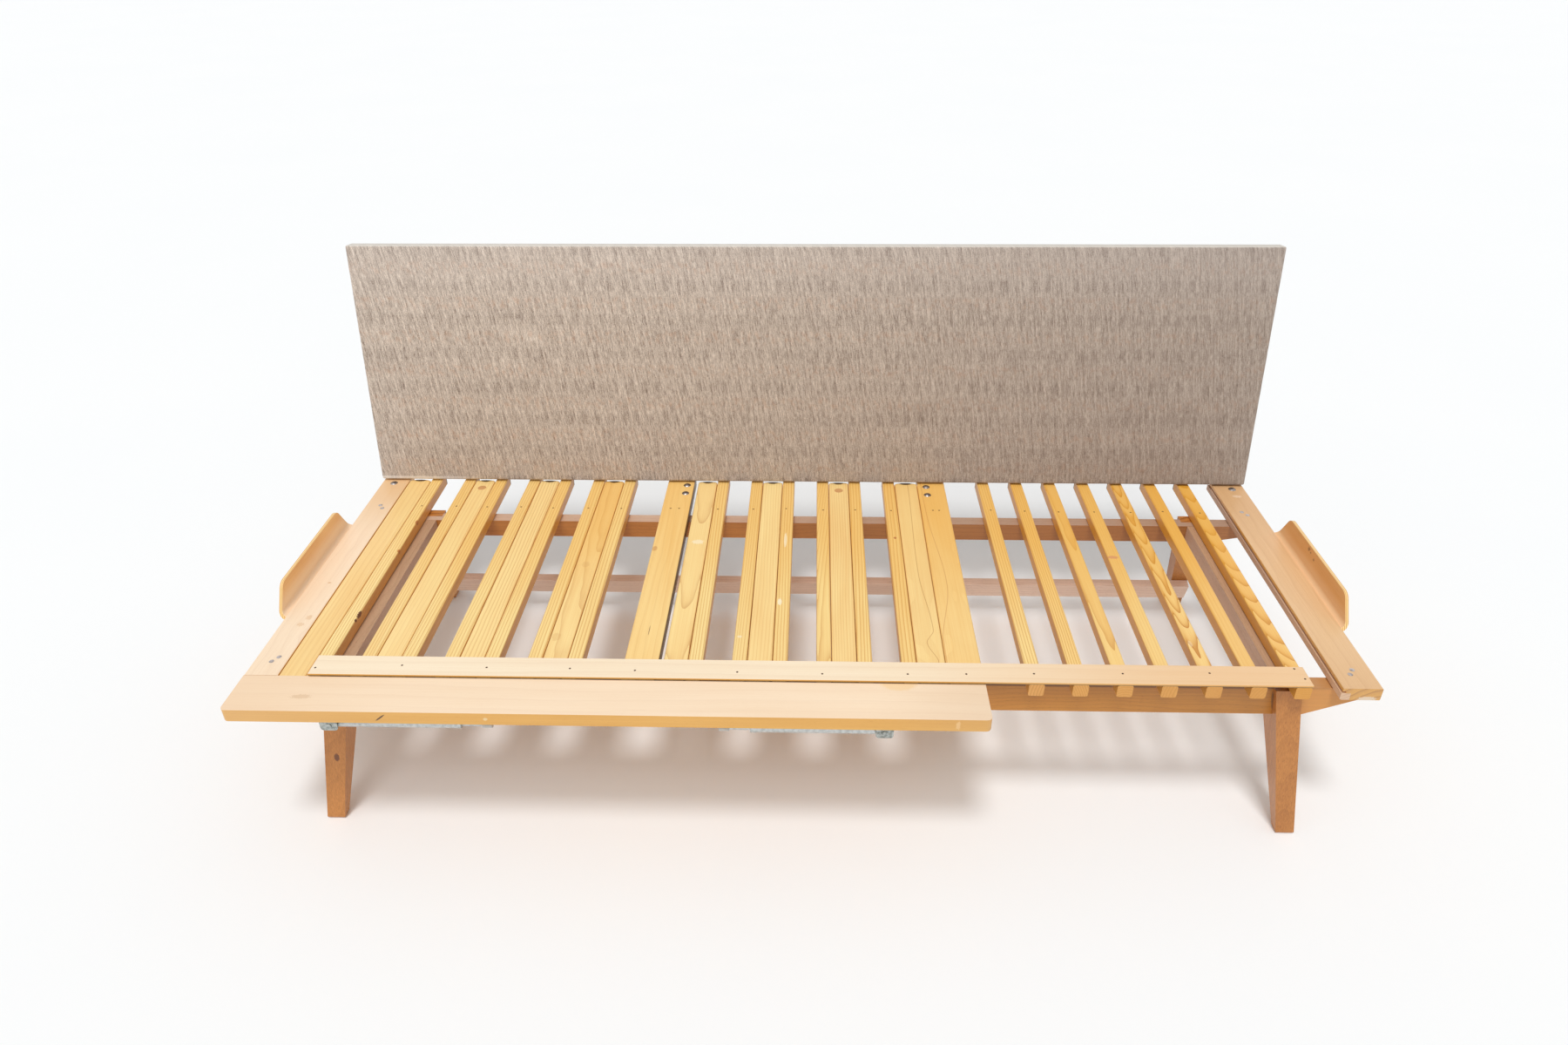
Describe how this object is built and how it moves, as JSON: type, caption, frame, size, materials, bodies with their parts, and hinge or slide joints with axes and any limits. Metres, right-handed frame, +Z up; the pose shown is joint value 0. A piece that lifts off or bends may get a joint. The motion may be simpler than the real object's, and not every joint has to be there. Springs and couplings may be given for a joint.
{
  "type": "folding sofa bed base",
  "caption": "Slatted wooden sofa-bed base on splayed legs with a leaning upholstered back, side lips, a pull-out comb of wide slats and folding steel legs.",
  "frame": {"origin": "on the floor, under the middle of the whole object's box with the comb pushed home", "axes": "+X to the right in the front view; +Y from the front board to the back panel; +Z up"},
  "size_m": [1.932, 0.8678, 0.8137],
  "materials": {
    "slat_pine": "satin",
    "pale_beech": "satin",
    "warm_beech": "satin",
    "stained_beech": "satin",
    "raw_beech": "matte",
    "moulded_ply": "satin",
    "panel_ply": "matte",
    "panel_foam": "matte",
    "wool_cloth": "matte",
    "zinc_steel": "satin",
    "tip_rubber": "matte"
  },
  "bodies": {
    "base": {"back_board": "panel_ply", "back_brackets": "zinc_steel", "back_cover": "wool_cloth", "back_pad": "panel_foam", "carriage_bolts": "zinc_steel", "fixed_slat_01": "slat_pine", "fixed_slat_02": "slat_pine", "fixed_slat_03": "slat_pine", "fixed_slat_04": "slat_pine", "fixed_slat_05": "slat_pine", "fixed_slat_06": "slat_pine", "fixed_slat_07": "slat_pine", "fixed_slat_08": "slat_pine", "fixed_slat_09": "slat_pine", "fixed_slat_10": "slat_pine", "fixed_slat_11": "slat_pine", "fixed_slat_12": "slat_pine", "fixed_slat_13": "slat_pine", "fixed_slat_14": "slat_pine", "fixed_slat_15": "slat_pine", "fixed_slat_16": "slat_pine", "fixed_slat_17": "slat_pine", "fixed_slat_18": "slat_pine", "fixed_slat_19": "slat_pine", "fixed_slat_20": "slat_pine", "front_rail": "stained_beech", "left_cross_rail": "raw_beech", "left_front_leg": "stained_beech", "left_rear_leg": "stained_beech", "left_side_board": "pale_beech", "left_side_lip": "moulded_ply", "left_support_board": "slat_pine", "rear_rail": "stained_beech", "rear_stretcher": "raw_beech", "right_board_tongue": "raw_beech", "right_cross_rail": "raw_beech", "right_front_leg": "stained_beech", "right_rear_leg": "stained_beech", "right_side_board": "warm_beech", "right_side_lip": "moulded_ply", "right_support_board": "slat_pine", "side_board_screws": "zinc_steel", "slat_end_strip": "pale_beech"},
    "comb": {"pull_slat_1": "slat_pine", "pull_slat_2": "slat_pine", "pull_slat_3": "slat_pine", "pull_slat_4": "slat_pine", "pull_slat_5": "slat_pine", "pull_slat_6": "slat_pine", "pull_slat_7": "slat_pine", "pull_slat_8": "slat_pine", "slat_plugs": "stained_beech", "front_board": "pale_beech", "leg_hinges": "zinc_steel", "hinge_pins": "zinc_steel"},
    "left_prop": {"left_fold_leg": "zinc_steel", "left_leg_foot": "tip_rubber"},
    "right_prop": {"right_fold_leg": "zinc_steel", "right_leg_foot": "tip_rubber"}
  },
  "joints": [
    {"name": "comb_slide", "type": "slide", "parent": "base", "child": "comb", "axis": [0, -1, 0], "range_m": [0, 0.56]},
    {"name": "left_prop_fold", "type": "hinge", "parent": "comb", "child": "left_prop", "pos_m": [-0.78, -0.41895, 0.2692], "axis": [0, 1, 0], "range_deg": [0, 90]},
    {"name": "right_prop_fold", "type": "hinge", "parent": "comb", "child": "right_prop", "pos_m": [0.129, -0.41895, 0.2692], "axis": [0, -1, 0], "range_deg": [0, 90]}
  ]
}
